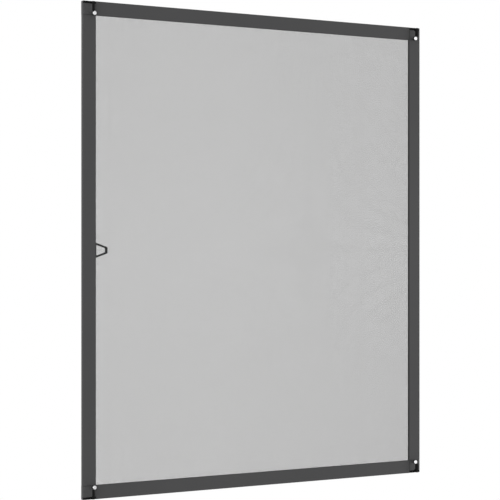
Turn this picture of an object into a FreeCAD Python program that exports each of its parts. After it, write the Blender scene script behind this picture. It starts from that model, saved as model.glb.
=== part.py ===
import FreeCAD, Part
import os

from FreeCAD import Vector

# A window insect screen, in millimetres. X runs across the window, Z is up and the room is on the -Y side.
# The origin is the middle of the frame, in the plane of the front faces that lie against the window.

# The frame and its extruded profile
frame_width = 1000.0
frame_height = 1200.0
profile_face = 34.0
profile_depth = 11.0
profile_wall = 1.4
edge_radius = 0.8

# The groove at the back of the profile, which holds the mesh, and the lip inside it
mesh_setback = 8.0
groove_width = 4.4
groove_floor = 2.2
lip_width = 3.6

# The slot along the profile's inner face, where the pull loop is clipped in
slot_front = 4.6
slot_height = 1.6
slot_depth = 1.8

# The mesh, drawn as ridges on a thin wall with a few of its gaps
mesh_wall = 0.4
mesh_edge_depth = 2.2
ridge_height = 0.2
ridge_width = 0.9
gap_columns = 10
gap_rows = 12
cells_per_gap = 4
gap_size = 11.0
spline_sink = 0.4

# The moulded corner connectors
tongue_clearance = 0.2
tongue_length = 48.0
tongue_lead = 2.0
pocket_count = 3
pocket_depth = 4.5
pocket_rib = 2.4
corner_radius = 1.5
front_bevel = 0.5
joint_width = 1.2
joint_depth = 1.4
boss_radius = 3.4
boss_height = 11.0

# The hanging hooks and the screws that clamp them
plate_reach = 6.2
plate_depth = 2.0
plate_inset = 0.5
web_thickness = 2.0
web_side = 23.0
web_rise = 6.0
web_start = 2.5
gusset_length = 5.0
flange_width = 6.0
sleeve_radius = 6.0
sleeve_height = 1.5
screw_side = 24.0
screw_end = 30.5
shank_radius = 2.0
shank_clearance = 0.05
shank_depth = 7.0
head_radius = 4.8
head_height = 3.0
head_bevel = 0.9
head_clearance = 0.5
recess_length = 5.2
recess_width = 1.1
recess_depth = 1.5

# The pull loop
loop_length = 33.5
loop_base = 38.0
loop_tip = 15.0
loop_bar = 4.8
loop_tip_bar = 6.4
loop_base_bar = 3.2
loop_thickness = 3.0
loop_corner = 3.0
loop_edge = 0.7
foot_length = 28.0
foot_clearance = 0.05

# Places that follow from the sizes above
half_width = frame_width / 2
half_height = frame_height / 2
side_length = frame_height - 2 * profile_face
rail_length = frame_width - 2 * profile_face
lip_start = profile_face - lip_width
groove_start = lip_start - groove_width
chamber_end = groove_start - profile_wall
spline_radius = (groove_width - mesh_wall) / 2
web_end = screw_end - head_radius - head_clearance
web_height = boss_height + web_rise
sleeve_top = boss_height + sleeve_height
left = -half_width
top = half_height
diagonal = Vector(1, 0, 1)


def prism(points, direction):
    """A flat outline pulled along a direction into a solid."""
    wire = Part.makePolygon(points + points[:1])
    return Part.Face(wire).extrude(direction)


def block(low, high):
    """A box between two opposite corners."""
    size = high - low
    return Part.makeBox(size.x, size.y, size.z, low)


def edges_along(solid, axis, wanted):
    """The straight edges that run along an axis, where their middle satisfies the test."""
    found = []
    for edge in solid.Edges:
        if edge.Curve.TypeId != "Part::GeomLine":
            continue
        run = edge.Vertexes[1].Point - edge.Vertexes[0].Point
        if run.cross(axis).Length < 1e-6 * run.Length and wanted(edge.CenterOfMass):
            found.append(edge)
    return found


def profile_section():
    """The extrusion's section: X is counted from the outer edge inwards, Y from the front face back."""
    outline = Part.makePolygon([
        Vector(0, 0, 0),
        Vector(profile_face, 0, 0),
        Vector(profile_face, slot_front, 0),
        Vector(profile_face - slot_depth, slot_front, 0),
        Vector(profile_face - slot_depth, slot_front + slot_height, 0),
        Vector(profile_face, slot_front + slot_height, 0),
        Vector(profile_face, mesh_setback, 0),
        Vector(lip_start, mesh_setback, 0),
        Vector(lip_start, groove_floor, 0),
        Vector(groove_start, groove_floor, 0),
        Vector(groove_start, profile_depth, 0),
        Vector(0, profile_depth, 0),
        Vector(0, 0, 0),
    ])
    return Part.Face(outline)


def profile_bar(length):
    """One profile, with its outer edge at X = 0, running along Z about the middle."""
    section = profile_section()
    section.translate(Vector(0, 0, -length / 2))
    bar = section.extrude(Vector(0, 0, length))

    def rounded(middle):
        front = middle.y < 1e-6
        back = abs(middle.y - profile_depth) < 1e-6
        return front or (back and middle.x < 1e-6)

    bar = bar.makeFillet(edge_radius, edges_along(bar, Vector(0, 0, 1), rounded))
    chamber = block(
        Vector(profile_wall, profile_wall, -length / 2),
        Vector(chamber_end, profile_depth - profile_wall, length / 2),
    )
    inner_edges = edges_along(chamber, Vector(0, 0, 1), lambda middle: True)
    return bar.cut(chamber.makeFillet(edge_radius, inner_edges))


def mirrored(shape, axis):
    return shape.mirror(Vector(0, 0, 0), axis)


def placed_on_left(shape):
    return shape.translated(Vector(left, 0, 0))


def placed_on_top(shape):
    """What was made for the left side, reflected about the corner's diagonal so that it serves the top."""
    return mirrored(shape, diagonal).translated(Vector(0, 0, top))


def make_profiles():
    side = placed_on_left(profile_bar(side_length))
    rail = placed_on_top(profile_bar(rail_length))
    return {
        "frame_profile_left": side,
        "frame_profile_right": mirrored(side, Vector(1, 0, 0)),
        "frame_profile_top": rail,
        "frame_profile_bottom": mirrored(rail, Vector(0, 0, 1)),
    }


def spline_bar(length):
    """The rubber cord, between the groove's outer wall and the mesh on its inner wall."""
    centre = Vector(
        groove_start + spline_radius,
        mesh_setback - spline_sink - spline_radius,
        -length / 2,
    )
    return Part.makeCylinder(spline_radius, length, centre, Vector(0, 0, 1))


def make_splines():
    side = placed_on_left(spline_bar(side_length))
    rail = placed_on_top(spline_bar(rail_length))
    return {
        "mesh_spline_left": side,
        "mesh_spline_right": mirrored(side, Vector(1, 0, 0)),
        "mesh_spline_top": rail,
        "mesh_spline_bottom": mirrored(rail, Vector(0, 0, 1)),
    }


def comb(half_span, clear_half, cell_count, base, crest, middle):
    """One face of the mesh in section: a flat edge at each end, and a ridge at each thread between them.

    The points run along the first axis, with the depth second."""
    pitch = 2 * clear_half / cell_count
    points = [(-half_span, middle), (-half_span, base)]
    for thread in range(1, cell_count):
        place = -clear_half + thread * pitch
        points += [
            (place - ridge_width / 2, base),
            (place - ridge_width / 2, crest),
            (place + ridge_width / 2, crest),
            (place + ridge_width / 2, base),
        ]
    return points + [(half_span, base), (half_span, middle)]


def make_mesh():
    """Upright threads stand out at the front and level threads at the back, and a few gaps go right through."""
    tuck = lip_start - mesh_wall
    half_x = half_width - tuck
    half_z = half_height - tuck
    clear_x = half_width - profile_face
    clear_z = half_height - profile_face
    columns = gap_columns * cells_per_gap
    rows = gap_rows * cells_per_gap
    front = mesh_setback
    back = mesh_setback + mesh_wall
    middle = mesh_setback + mesh_wall / 2

    upright = comb(half_x, clear_x, columns, front, front - ridge_height, middle)
    level = comb(half_z, clear_z, rows, back, back + ridge_height, middle)
    front_half = prism([Vector(x, y, -clear_z) for x, y in upright], Vector(0, 0, 2 * clear_z))
    back_half = prism([Vector(-clear_x, y, z) for z, y in level], Vector(2 * clear_x, 0, 0))
    sheet = block(Vector(-half_x, front, -half_z), Vector(half_x, back, half_z))

    edge_back = mesh_setback
    edge_front = mesh_setback - mesh_edge_depth
    side_edge = block(Vector(-half_x, edge_front, -clear_z), Vector(-half_x + mesh_wall, edge_back, clear_z))
    rail_edge = block(Vector(-clear_x, edge_front, half_z - mesh_wall), Vector(clear_x, edge_back, half_z))
    tucked = [
        side_edge,
        mirrored(side_edge, Vector(1, 0, 0)),
        rail_edge,
        mirrored(rail_edge, Vector(0, 0, 1)),
    ]
    cloth = sheet.multiFuse([front_half, back_half] + tucked)

    pitch_x = 2 * clear_x / gap_columns
    pitch_z = 2 * clear_z / gap_rows
    cell_x = 2 * clear_x / columns
    cell_z = 2 * clear_z / rows
    gaps = []
    for column in range(gap_columns):
        for row in range(gap_rows):
            x = -clear_x + (column + 0.5) * pitch_x + cell_x / 2
            z = -clear_z + (row + 0.5) * pitch_z + cell_z / 2
            gaps.append(block(
                Vector(x - gap_size / 2, front - ridge_height, z - gap_size / 2),
                Vector(x + gap_size / 2, back + ridge_height, z + gap_size / 2),
            ))
    return {"insect_mesh": cloth.cut(Part.makeCompound(gaps)).removeSplitter()}


def connector_tongue():
    """The tongue that goes up or down a side profile, with its root at Z = 0 and its tip below."""
    low = Vector(profile_wall + tongue_clearance, profile_wall + tongue_clearance, -tongue_length)
    high = Vector(chamber_end - tongue_clearance, profile_depth - profile_wall - tongue_clearance, 0)
    tongue = block(low, high)
    tip_edges = [edge for edge in tongue.Edges if abs(edge.CenterOfMass.z + tongue_length) < 1e-6]
    long_edges = edges_along(tongue, Vector(0, 0, 1), lambda middle: True)
    tongue = tongue.makeChamfer(edge_radius, long_edges).common(tongue.makeChamfer(tongue_lead, tip_edges))
    bay = (tongue_length - tongue_lead) / pocket_count
    for number in range(pocket_count):
        start = -number * bay
        pocket = block(
            Vector(low.x + pocket_rib, high.y - pocket_depth, start - bay + pocket_rib / 2),
            Vector(high.x - pocket_rib, high.y, start - pocket_rib),
        )
        tongue = tongue.cut(pocket)
    return tongue


def corner_connector():
    """The top left connector: a square block flush with the profiles, a tongue into each and a boss in front."""
    body = block(Vector(0, 0, -profile_face), Vector(profile_face, profile_depth, 0))
    outer = edges_along(body, Vector(0, 1, 0), lambda middle: middle.x < 1e-6 and middle.z > -1e-6)
    body = body.makeFillet(corner_radius, outer)
    front = [edge for edge in body.Edges if edge.BoundBox.YMax < 1e-6]
    body = body.makeChamfer(front_bevel, front)

    joint = block(
        Vector(profile_face - joint_width, 0, -profile_face),
        Vector(profile_face, joint_depth, 0),
    )
    seat = block(
        Vector(groove_start, mesh_setback, -profile_face),
        Vector(profile_face, profile_depth, -groove_start),
    )
    rebate = block(Vector(0, 0, -plate_reach), Vector(profile_face, plate_depth, 0))
    body = body.cut(Part.makeCompound([joint, seat])).cut(mirrored(joint, diagonal)).cut(rebate)

    down = connector_tongue().translated(Vector(0, 0, -profile_face))
    level = mirrored(down, diagonal)

    boss = Part.makeCylinder(
        boss_radius,
        boss_height + joint_depth,
        Vector(screw_side, -boss_height, -screw_end),
        Vector(0, 1, 0),
    )
    hole = Part.makeCylinder(
        shank_radius + shank_clearance,
        boss_height + shank_depth,
        Vector(screw_side, -boss_height, -screw_end),
        Vector(0, 1, 0),
    )
    return body.multiFuse([down, level, boss]).cut(hole)


def hanging_hook():
    """The top left hook: an end plate in the rebate, an angle that stands clear of the face, and a screw sleeve."""
    plate = block(
        Vector(plate_inset, 0, -plate_reach),
        Vector(profile_face - plate_inset, plate_depth, -plate_inset),
    )
    web_outer = web_side - web_thickness
    root = [
        (web_start, plate_depth),
        (web_start, -boss_height),
        (plate_reach + gusset_length, -boss_height),
        (plate_reach, -plate_depth),
        (plate_reach, plate_depth),
    ]
    riser = prism([Vector(web_outer, y, -z) for z, y in root], Vector(web_thickness, 0, 0))
    flange_back = -web_height + web_thickness
    section = [
        (web_side, -boss_height),
        (web_side, -web_height),
        (web_side - flange_width, -web_height),
        (web_side - flange_width, flange_back),
        (web_outer, flange_back),
        (web_outer, -boss_height),
    ]
    angle = prism([Vector(x, y, -web_start) for x, y in section], Vector(0, 0, web_start - web_end))
    foot = block(
        Vector(web_outer, -sleeve_top, -screw_end),
        Vector(web_side, -boss_height, -web_end),
    )
    sleeve = Part.makeCylinder(
        sleeve_radius,
        sleeve_top - boss_height,
        Vector(screw_side, -sleeve_top, -screw_end),
        Vector(0, 1, 0),
    )
    hole = Part.makeCylinder(
        shank_radius + shank_clearance,
        sleeve_top,
        Vector(screw_side, -sleeve_top, -screw_end),
        Vector(0, 1, 0),
    )
    return plate.multiFuse([riser, angle, foot, sleeve]).cut(hole).removeSplitter()


def hook_screw():
    """The top left screw: a round head on the sleeve and a shank through the hook into the connector."""
    head = Part.makeCylinder(head_radius, head_height, Vector(0, 0, 0), Vector(0, 0, 1))
    rim = [edge for edge in head.Edges if edge.BoundBox.ZMin > head_height - 1e-6]
    head = head.makeChamfer(head_bevel, rim)
    slot = block(
        Vector(-recess_length / 2, -recess_width / 2, head_height - recess_depth),
        Vector(recess_length / 2, recess_width / 2, head_height),
    )
    cross_slot = slot.copy()
    cross_slot.rotate(Vector(0, 0, 0), Vector(0, 0, 1), 90)
    shank = Part.makeCylinder(shank_radius, sleeve_top + shank_depth, Vector(0, 0, 0), Vector(0, 0, -1))
    screw = head.fuse(shank).cut(slot).cut(cross_slot).removeSplitter()
    screw.rotate(Vector(0, 0, 0), Vector(1, 0, 0), 90)
    return screw.translated(Vector(screw_side, -sleeve_top, -screw_end))


def at_each_corner(name, shape):
    """The top left piece and its reflections, one node for each corner."""
    top_left = shape.translated(Vector(left, 0, top))
    top_right = mirrored(top_left, Vector(1, 0, 0))
    return {
        name + "_top_left": top_left,
        name + "_top_right": top_right,
        name + "_bottom_left": mirrored(top_left, Vector(0, 0, 1)),
        name + "_bottom_right": mirrored(top_right, Vector(0, 0, 1)),
    }


def trapezium(start, end, half_start, half_end, corner):
    """A symmetric outline along X with rounded corners, as thick as the loop."""
    front = loop_centre() - loop_thickness / 2
    solid = prism(
        [
            Vector(start, front, -half_start),
            Vector(end, front, -half_end),
            Vector(end, front, half_end),
            Vector(start, front, half_start),
        ],
        Vector(0, loop_thickness, 0),
    )
    return solid.makeFillet(corner, edges_along(solid, Vector(0, 1, 0), lambda middle: True))


def loop_centre():
    """The loop stands in the middle of the slot's height."""
    return slot_front + slot_height / 2


def make_pull_loop():
    """A flexible loop whose foot is clipped into the slot of the left profile."""
    face = left + profile_face
    slope = (loop_base - loop_tip) / 2 / loop_length
    inner_start = face + loop_base_bar
    inner_end = face + loop_length - loop_tip_bar
    half_start = loop_base / 2 - slope * loop_base_bar - loop_bar
    half_end = loop_tip / 2 + slope * loop_tip_bar - loop_bar
    outer = trapezium(face, face + loop_length, loop_base / 2, loop_tip / 2, loop_corner)
    rims = [edge for edge in outer.Edges if edge.BoundBox.YLength < 1e-6 and edge.BoundBox.XMax > face + 1e-6]
    outer = outer.makeChamfer(loop_edge, rims)
    inner = trapezium(inner_start, inner_end, half_start, half_end, loop_corner / 2)
    ring = outer.cut(inner)
    foot = block(
        Vector(face - slot_depth + foot_clearance, slot_front + foot_clearance, -foot_length / 2),
        Vector(face + loop_base_bar / 2, slot_front + slot_height - foot_clearance, foot_length / 2),
    )
    return {"pull_loop": ring.fuse(foot).removeSplitter()}


parts = {}
parts.update(make_profiles())
parts.update(make_splines())
parts.update(make_mesh())
parts.update(at_each_corner("corner_connector", corner_connector()))
parts.update(at_each_corner("hanging_hook", hanging_hook()))
parts.update(at_each_corner("hook_screw", hook_screw()))
parts.update(make_pull_loop())

os.makedirs("parts", exist_ok=True)
for node, shape in parts.items():
    solids = shape.Solids
    shape = solids[0] if len(solids) == 1 else Part.makeCompound(solids)
    shape.exportStep(os.path.join("parts", node + ".step"))
    box = shape.BoundBox
    print(
        node, len(solids), "valid" if shape.isValid() else "INVALID", round(shape.Volume, 1),
        [round(value, 2) for value in (box.XMin, box.XMax, box.YMin, box.YMax, box.ZMin, box.ZMax)],
    )
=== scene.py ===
import math

import bpy
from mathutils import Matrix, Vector


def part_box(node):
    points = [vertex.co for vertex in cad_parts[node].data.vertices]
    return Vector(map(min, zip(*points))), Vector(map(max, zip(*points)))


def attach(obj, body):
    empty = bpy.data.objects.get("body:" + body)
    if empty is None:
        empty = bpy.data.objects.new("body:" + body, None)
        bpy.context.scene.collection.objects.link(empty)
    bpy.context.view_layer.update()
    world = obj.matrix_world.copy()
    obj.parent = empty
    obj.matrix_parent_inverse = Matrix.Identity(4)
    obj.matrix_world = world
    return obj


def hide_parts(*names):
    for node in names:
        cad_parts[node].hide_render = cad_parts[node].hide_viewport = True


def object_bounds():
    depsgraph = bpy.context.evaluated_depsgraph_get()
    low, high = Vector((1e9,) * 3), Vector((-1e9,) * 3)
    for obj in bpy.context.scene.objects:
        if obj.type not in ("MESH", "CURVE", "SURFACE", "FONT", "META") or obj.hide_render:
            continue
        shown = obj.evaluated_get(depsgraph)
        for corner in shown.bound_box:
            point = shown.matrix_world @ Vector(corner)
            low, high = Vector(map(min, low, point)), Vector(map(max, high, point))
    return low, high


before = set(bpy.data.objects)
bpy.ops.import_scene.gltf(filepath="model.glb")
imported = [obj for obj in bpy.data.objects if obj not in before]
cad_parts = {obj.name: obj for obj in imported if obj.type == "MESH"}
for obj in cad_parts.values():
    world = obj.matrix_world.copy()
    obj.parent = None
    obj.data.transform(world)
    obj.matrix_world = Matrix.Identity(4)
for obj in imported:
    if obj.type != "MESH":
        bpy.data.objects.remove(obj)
cad_low, cad_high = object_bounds()


# The profiles
# Four lengths of one extruded aluminium section, cut square and powder coated anthracite. The coat has a fine
# orange peel, and its tone drifts a little along the bar. Square moulded corners hold the four together.
SIDES = ("left", "right", "top", "bottom")
DRIFT_SCALE = 3.0
TONE_BY_DRIFT = 1.2
TONE_BY_GRAIN = 1.6
GLOSS_BY_DRIFT = 0.08
GLOSS_BY_GRAIN = 0.16
MIX_COLOUR_A = 6
MIX_COLOUR_B = 7
MIX_COLOUR_RESULT = 2


class Signal:
    """A socket in a tree of nodes, on which plain arithmetic adds Math nodes."""

    def __init__(self, tree, socket=None):
        self.tree = tree
        self.socket = socket

    def node(self, kind, settings=None, inputs=None, output=0):
        """Adds a node, with its settings first and then its sockets' values or links, and gives one output."""
        made = self.tree.nodes.new(kind)
        for name, value in (settings or {}).items():
            setattr(made, name, value)
        for name, value in (inputs or {}).items():
            for one in value if isinstance(value, list) else [value]:
                if isinstance(one, Signal):
                    self.tree.links.new(one.socket, made.inputs[name])
                else:
                    made.inputs[name].default_value = one
        return Signal(self.tree, made.outputs[output])

    def math(self, operation, first, second):
        return self.node("ShaderNodeMath", {"operation": operation}, {0: first, 1: second})

    def __add__(self, other):
        return self.math("ADD", self, other)

    def __sub__(self, other):
        return self.math("SUBTRACT", self, other)

    def __rsub__(self, other):
        return self.math("SUBTRACT", other, self)

    def __mul__(self, other):
        return self.math("MULTIPLY", self, other)

    __radd__ = __add__
    __rmul__ = __mul__


def finish(name, tones, roughness, specular, grain_size, grain_depth, metallic=0.0):
    """A surface whose tone and gloss drift slowly, under a fine grain of a given size and depth in metres."""
    material = bpy.data.materials.new(name)
    material.use_nodes = True
    tree = material.node_tree
    shader = tree.nodes["Principled BSDF"]
    start = Signal(tree)
    place = start.node("ShaderNodeTexCoord", output="Object")
    slow = start.node("ShaderNodeTexNoise", {}, {"Vector": place, "Scale": DRIFT_SCALE, "Detail": 3.0})
    fine = start.node("ShaderNodeTexNoise", {}, {"Vector": place, "Scale": 1 / grain_size, "Detail": 2.0})
    drift = slow - 0.5
    grain = fine - 0.5
    tone = start.node(
        "ShaderNodeMix",
        {"data_type": "RGBA"},
        {
            "Factor": 0.5 + drift * TONE_BY_DRIFT + grain * TONE_BY_GRAIN,
            MIX_COLOUR_A: (*tones[0], 1.0),
            MIX_COLOUR_B: (*tones[1], 1.0),
        },
        output=MIX_COLOUR_RESULT,
    )
    gloss = roughness + drift * GLOSS_BY_DRIFT + grain * GLOSS_BY_GRAIN
    bump = start.node("ShaderNodeBump", {}, {"Height": fine, "Distance": grain_depth, "Strength": 1.0})
    tree.links.new(tone.socket, shader.inputs["Base Color"])
    tree.links.new(gloss.socket, shader.inputs["Roughness"])
    tree.links.new(bump.socket, shader.inputs["Normal"])
    shader.inputs["Metallic"].default_value = metallic
    shader.inputs["Specular IOR Level"].default_value = specular
    return material


def dress(node, material):
    """Gives a carried-over piece its finish."""
    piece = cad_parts[node]
    piece.data.materials.clear()
    piece.data.materials.append(material)


powder_coat = finish(
    "powder_coat",
    tones=((0.057, 0.057, 0.058), (0.073, 0.073, 0.074)),
    roughness=0.5,
    specular=0.15,
    grain_size=0.0008,
    grain_depth=0.0001,
)
for side in SIDES:
    dress("frame_profile_" + side, powder_coat)


# The corner connectors
# Square blocks moulded in anthracite plastic to match the profiles, with a boss on which the hook is clamped. The
# mould's eroded surface gives them a finer, duller grain than the coat. Their tone is set a little lighter than
# the coat's: painted light that makes up for the shade the hooks cast on them.
CORNERS = ("top_left", "top_right", "bottom_left", "bottom_right")

eroded_plastic_painted_lighter = finish(
    "eroded_plastic_painted_lighter",
    # Painted light: both tones are lighter than the coat's, to offset the hook's shade on the block.
    tones=((0.064, 0.064, 0.065), (0.080, 0.080, 0.081)),
    roughness=0.6,
    specular=0.2,
    grain_size=0.0004,
    grain_depth=0.00008,
)
for corner in CORNERS:
    dress("corner_connector_" + corner, eroded_plastic_painted_lighter)


# The insect mesh
# Woven glass fibre thread in a grey coat, stretched flat across the back of the frame. Its four edges are tucked
# into the grooves, each thread turning down against the lip's wall.
THREAD_PITCH = 0.0013
THREAD_RADIUS = 0.000195
THREAD_SIDES = 6
LAYER_GAP = 0.0002
SOLID_WALL = 0.0004
SOLID_RIDGE = 0.0002


class Wiring:
    """A Geometry Nodes tree under construction, with named inputs."""

    def __init__(self, name):
        self.tree = bpy.data.node_groups.new(name, "GeometryNodeTree")
        self.tree.interface.new_socket("Geometry", in_out="OUTPUT", socket_type="NodeSocketGeometry")
        self.source = self.tree.nodes.new("NodeGroupInput")
        self.node = Signal(self.tree).node
        self.identifiers = {}

    def named(self, name, kind="NodeSocketFloat"):
        """An input of the tree, by name."""
        socket = self.tree.interface.new_socket(name, in_out="INPUT", socket_type=kind)
        self.identifiers[name] = socket.identifier
        return Signal(self.tree, self.source.outputs[name])

    def vector(self, x=0.0, y=0.0, z=0.0):
        return self.node("ShaderNodeCombineXYZ", {}, {"X": x, "Y": y, "Z": z})

    def rod(self, start, end, section):
        """A straight length of one section between two points, with closed ends."""
        line = self.node("GeometryNodeCurvePrimitiveLine", {}, {"Start": start, "End": end})
        return self.node(
            "GeometryNodeCurveToMesh",
            {},
            {"Curve": line, "Profile Curve": section, "Fill Caps": True},
        )

    def finished(self, geometry, material):
        """Ends the tree in real geometry with its material."""
        real = self.node("GeometryNodeRealizeInstances", {}, {"Geometry": geometry})
        painted = self.node("GeometryNodeSetMaterial", {}, {"Geometry": real, "Material": material})
        self.tree.links.new(painted.socket, self.tree.nodes.new("NodeGroupOutput").inputs["Geometry"])

    def piece(self, name, values):
        """Runs the tree with its inputs set, and gives the result as a plain mesh object."""
        carrier = bpy.data.objects.new(name + "_carrier", bpy.data.meshes.new(name + "_carrier"))
        bpy.context.scene.collection.objects.link(carrier)
        modifier = carrier.modifiers.new("Build", "NODES")
        modifier.node_group = self.tree
        for key, value in values.items():
            modifier[self.identifiers[key]] = value
        evaluated = carrier.evaluated_get(bpy.context.evaluated_depsgraph_get())
        mesh = bpy.data.meshes.new_from_object(evaluated)
        mesh.name = name
        mesh.materials.clear()
        mesh.materials.append(values["Material"])
        mesh.polygons.foreach_set("material_index", [0] * len(mesh.polygons))
        bpy.data.objects.remove(carrier)
        made = bpy.data.objects.new(name, mesh)
        bpy.context.scene.collection.objects.link(made)
        return made


def thread_family(wiring, along, across, reach, count, depth, section, pitch, tuck):
    """Parallel threads along one axis, each with both its ends turned down by the tuck."""
    near, far = reach * -1.0, reach
    tucked = depth - tuck
    runs = []
    for start, end in (
        ({along: near, "y": depth}, {along: far, "y": depth}),
        ({along: near, "y": depth}, {along: near, "y": tucked}),
        ({along: far, "y": depth}, {along: far, "y": tucked}),
    ):
        runs.append(wiring.rod(wiring.vector(**start), wiring.vector(**end), section))
    thread = wiring.node("GeometryNodeJoinGeometry", {}, {"Geometry": runs})
    first = (count - 1.0) * pitch * -0.5
    places = wiring.node(
        "GeometryNodeMeshLine",
        {"mode": "OFFSET"},
        {
            "Count": count,
            "Start Location": wiring.vector(**{across: first}),
            "Offset": wiring.vector(**{across: pitch}),
        },
    )
    return wiring.node("GeometryNodeInstanceOnPoints", {}, {"Points": places, "Instance": thread})


coated_thread = finish(
    "coated_thread",
    tones=((0.028, 0.028, 0.028), (0.034, 0.034, 0.034)),
    roughness=0.75,
    specular=0.2,
    grain_size=0.0002,
    grain_depth=0.00002,
)
weave = Wiring("insect_mesh_weave")
weave_material = weave.named("Material", "NodeSocketMaterial")
half_width = weave.named("Half Width")
half_height = weave.named("Half Height")
upright_count = weave.named("Upright Count", "NodeSocketInt")
level_count = weave.named("Level Count", "NodeSocketInt")
pitch = weave.named("Pitch")
thread_radius = weave.named("Radius")
front_depth = weave.named("Front Depth")
back_depth = weave.named("Back Depth")
tuck = weave.named("Tuck")
thread_section = weave.node(
    "GeometryNodeCurvePrimitiveCircle", {}, {"Resolution": THREAD_SIDES, "Radius": thread_radius}
)
uprights = thread_family(
    weave, "z", "x", half_height, upright_count, front_depth, thread_section, pitch, tuck
)
levels = thread_family(
    weave, "x", "z", half_width, level_count, back_depth, thread_section, pitch, tuck
)
weave.finished(weave.node("GeometryNodeJoinGeometry", {}, {"Geometry": [uprights, levels]}), weave_material)

mesh_low, mesh_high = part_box("insect_mesh")
opening_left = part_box("frame_profile_left")[1].x
opening_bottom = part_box("frame_profile_bottom")[1].z
lip_back = mesh_high.y - SOLID_WALL - SOLID_RIDGE
insect_mesh_cloth = weave.piece("insect_mesh_cloth", {
    "Material": coated_thread,
    "Half Width": mesh_high.x - SOLID_WALL / 2,
    "Half Height": mesh_high.z - SOLID_WALL / 2,
    "Upright Count": math.floor(-2 * opening_left / THREAD_PITCH),
    "Level Count": math.floor(-2 * opening_bottom / THREAD_PITCH),
    "Pitch": THREAD_PITCH,
    "Radius": THREAD_RADIUS,
    "Front Depth": lip_back + THREAD_RADIUS,
    "Back Depth": lip_back + THREAD_RADIUS + LAYER_GAP,
    "Tuck": lip_back + THREAD_RADIUS - mesh_low.y,
})
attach(insect_mesh_cloth, "root")
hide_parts("insect_mesh")


# The splines
# Four lengths of soft black rubber cord, pressed into the grooves over the mesh. The cord is ribbed along its
# length, so that it grips the groove's wall.
SPLINE_RIBS = 12
RIB_DEPTH = 0.00022

spline_rubber = finish(
    "spline_rubber",
    tones=((0.018, 0.018, 0.018), (0.026, 0.026, 0.026)),
    roughness=0.7,
    specular=0.3,
    grain_size=0.0005,
    grain_depth=0.00003,
)
cord = Wiring("ribbed_spline")
cord_material = cord.named("Material", "NodeSocketMaterial")
cord_start = cord.named("Start", "NodeSocketVector")
cord_end = cord.named("End", "NodeSocketVector")
crest_radius = cord.named("Crest Radius")
root_radius = cord.named("Root Radius")
ribbed_section = cord.node(
    "GeometryNodeCurveStar",
    {},
    {"Points": SPLINE_RIBS, "Inner Radius": root_radius, "Outer Radius": crest_radius},
)
cord.finished(cord.rod(cord_start, cord_end, ribbed_section), cord_material)

for side in SIDES:
    low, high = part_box("mesh_spline_" + side)
    middle = (low + high) / 2
    radius = (high.y - low.y) / 2
    along = Vector((0, 0, 1)) if side in ("left", "right") else Vector((1, 0, 0))
    reach = along * (high - low).dot(along) / 2
    spline = cord.piece("ribbed_spline_" + side, {
        "Material": spline_rubber,
        "Start": middle - reach,
        "End": middle + reach,
        "Crest Radius": radius,
        "Root Radius": radius - RIB_DEPTH,
    })
    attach(spline, "root")
    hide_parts("mesh_spline_" + side)


# The hanging hooks and their screws
# One black moulded hook on each corner, with an end plate let into the connector and an angle that reaches into
# the window's recess, clear of the face. A bright zinc plated screw clamps it on the connector's boss.
black_plastic = finish(
    "black_plastic",
    tones=((0.003, 0.003, 0.003), (0.005, 0.005, 0.005)),
    roughness=0.6,
    specular=0.1,
    grain_size=0.0006,
    grain_depth=0.00003,
)
zinc_plate = finish(
    "zinc_plate",
    tones=((0.71, 0.71, 0.72), (0.79, 0.79, 0.80)),
    roughness=0.4,
    specular=0.5,
    grain_size=0.0008,
    grain_depth=0.00001,
    metallic=1.0,
)
for corner in CORNERS:
    dress("hanging_hook_" + corner, black_plastic)
    dress("hook_screw_" + corner, zinc_plate)


# The pull loop
# A flexible loop moulded in dark grey plastic, clipped into the slot of the left profile at mid height. It lies
# just in front of the mesh.
soft_plastic = finish(
    "soft_plastic",
    tones=((0.016, 0.016, 0.016), (0.021, 0.021, 0.021)),
    roughness=0.55,
    specular=0.2,
    grain_size=0.0007,
    grain_depth=0.00003,
)
dress("pull_loop", soft_plastic)


# The studio
# The screen hangs at window height over a white floor, which fades out round it. The light is soft and even from
# all sides, with three large square lamps. The camera and all mirrored rays see plain white beyond the floor.
FLOOR_DROP = 0.65
FLOOR_REACH = 9.0
FADE_START = 2.0
FADE_END = 4.0
SOFT_STRENGTH = 0.62
WHITE_STRENGTH = 1.0
LAMP_SIZE = 2.4

floor_mesh = bpy.data.meshes.new("floor")
floor_z = cad_low.z - FLOOR_DROP
floor_mesh.from_pydata(
    [(x * FLOOR_REACH, y * FLOOR_REACH, floor_z) for x, y in ((-1, -1), (1, -1), (1, 1), (-1, 1))],
    [],
    [(0, 1, 2, 3)],
)
floor = bpy.data.objects.new("floor", floor_mesh)
bpy.context.scene.collection.objects.link(floor)
floor_white = bpy.data.materials.new("floor_white")
floor_white.use_nodes = True
floor_tree = floor_white.node_tree
floor_start = Signal(floor_tree)
floor_shader = floor_tree.nodes["Principled BSDF"]
floor_shader.inputs["Base Color"].default_value = (0.9, 0.9, 0.9, 1.0)
floor_shader.inputs["Roughness"].default_value = 0.9
floor_place = floor_start.node("ShaderNodeTexCoord", output="Object")
floor_distance = floor_start.node("ShaderNodeVectorMath", {"operation": "LENGTH"}, {0: floor_place}, output=1)
floor_fade = floor_start.node(
    "ShaderNodeMapRange", {}, {"Value": floor_distance, "From Min": FADE_START, "From Max": FADE_END}
)
floor_surface = floor_start.node(
    "ShaderNodeMixShader",
    {},
    {
        0: floor_fade,
        1: Signal(floor_tree, floor_shader.outputs[0]),
        2: floor_start.node("ShaderNodeBsdfTransparent"),
    },
)
floor_tree.links.new(floor_surface.socket, floor_tree.nodes["Material Output"].inputs["Surface"])
floor_mesh.materials.append(floor_white)

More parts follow.
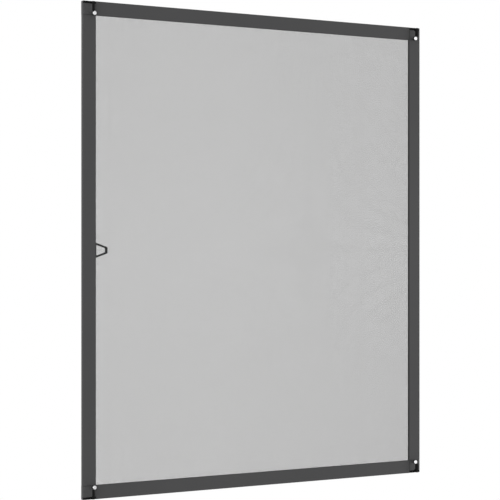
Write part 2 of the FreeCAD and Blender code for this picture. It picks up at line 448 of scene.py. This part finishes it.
world = bpy.data.worlds.new("studio")
bpy.context.scene.world = world
world.use_nodes = True
sky = Signal(world.node_tree)
camera_ray, glossy_ray, transmission_ray = [
    sky.node("ShaderNodeLightPath", output=name)
    for name in ("Is Camera Ray", "Is Glossy Ray", "Is Transmission Ray")
]
soft_light, plain_white = [
    sky.node("ShaderNodeBackground", {}, {"Color": (1.0, 1.0, 1.0, 1.0), "Strength": strength})
    for strength in (SOFT_STRENGTH, WHITE_STRENGTH)
]
surround = sky.node(
    "ShaderNodeMixShader",
    {},
    {0: camera_ray + glossy_ray + transmission_ray, 1: soft_light, 2: plain_white},
)
world.node_tree.links.new(surround.socket, world.node_tree.nodes["World Output"].inputs["Surface"])


def lamp(name, place, power):
    """A square soft light, turned to the middle of the screen."""
    light = bpy.data.lights.new(name, "AREA")
    light.size = LAMP_SIZE
    light.energy = power
    holder = bpy.data.objects.new(name, light)
    holder.location = place
    holder.rotation_mode = "QUATERNION"
    holder.rotation_quaternion = Vector(place).to_track_quat("Z", "Y")
    bpy.context.scene.collection.objects.link(holder)


lamp("key", (-3.4, -2.4, 0.4), 44.0)
lamp("fill", (2.6, -2.0, 0.1), 24.0)
lamp("rim", (-0.6, 3.6, 2.0), 30.0)


# The camera
# It stands level with the middle of the screen, 31 degrees to its left and 4.3 metres away. The focal length is
# in pixels of the square picture.
CAMERA_PLACE = Vector((-2.2193, -3.6689, 0.0006))
CAMERA_TURN = math.radians(30.78)
FOCAL_PIXELS = 1680.4
IMAGE_SIZE = 500
SENSOR_WIDTH = 36.0

camera_data = bpy.data.cameras.new("camera")
camera_data.sensor_width = SENSOR_WIDTH
camera_data.lens = FOCAL_PIXELS / IMAGE_SIZE * SENSOR_WIDTH
camera = bpy.data.objects.new("camera", camera_data)
camera.location = CAMERA_PLACE
camera.rotation_mode = "QUATERNION"
aim = Vector((math.sin(CAMERA_TURN), math.cos(CAMERA_TURN), 0))
camera.rotation_quaternion = aim.to_track_quat("-Z", "Y")
bpy.context.scene.collection.objects.link(camera)
bpy.context.scene.camera = camera
bpy.context.scene.view_settings.view_transform = "Standard"
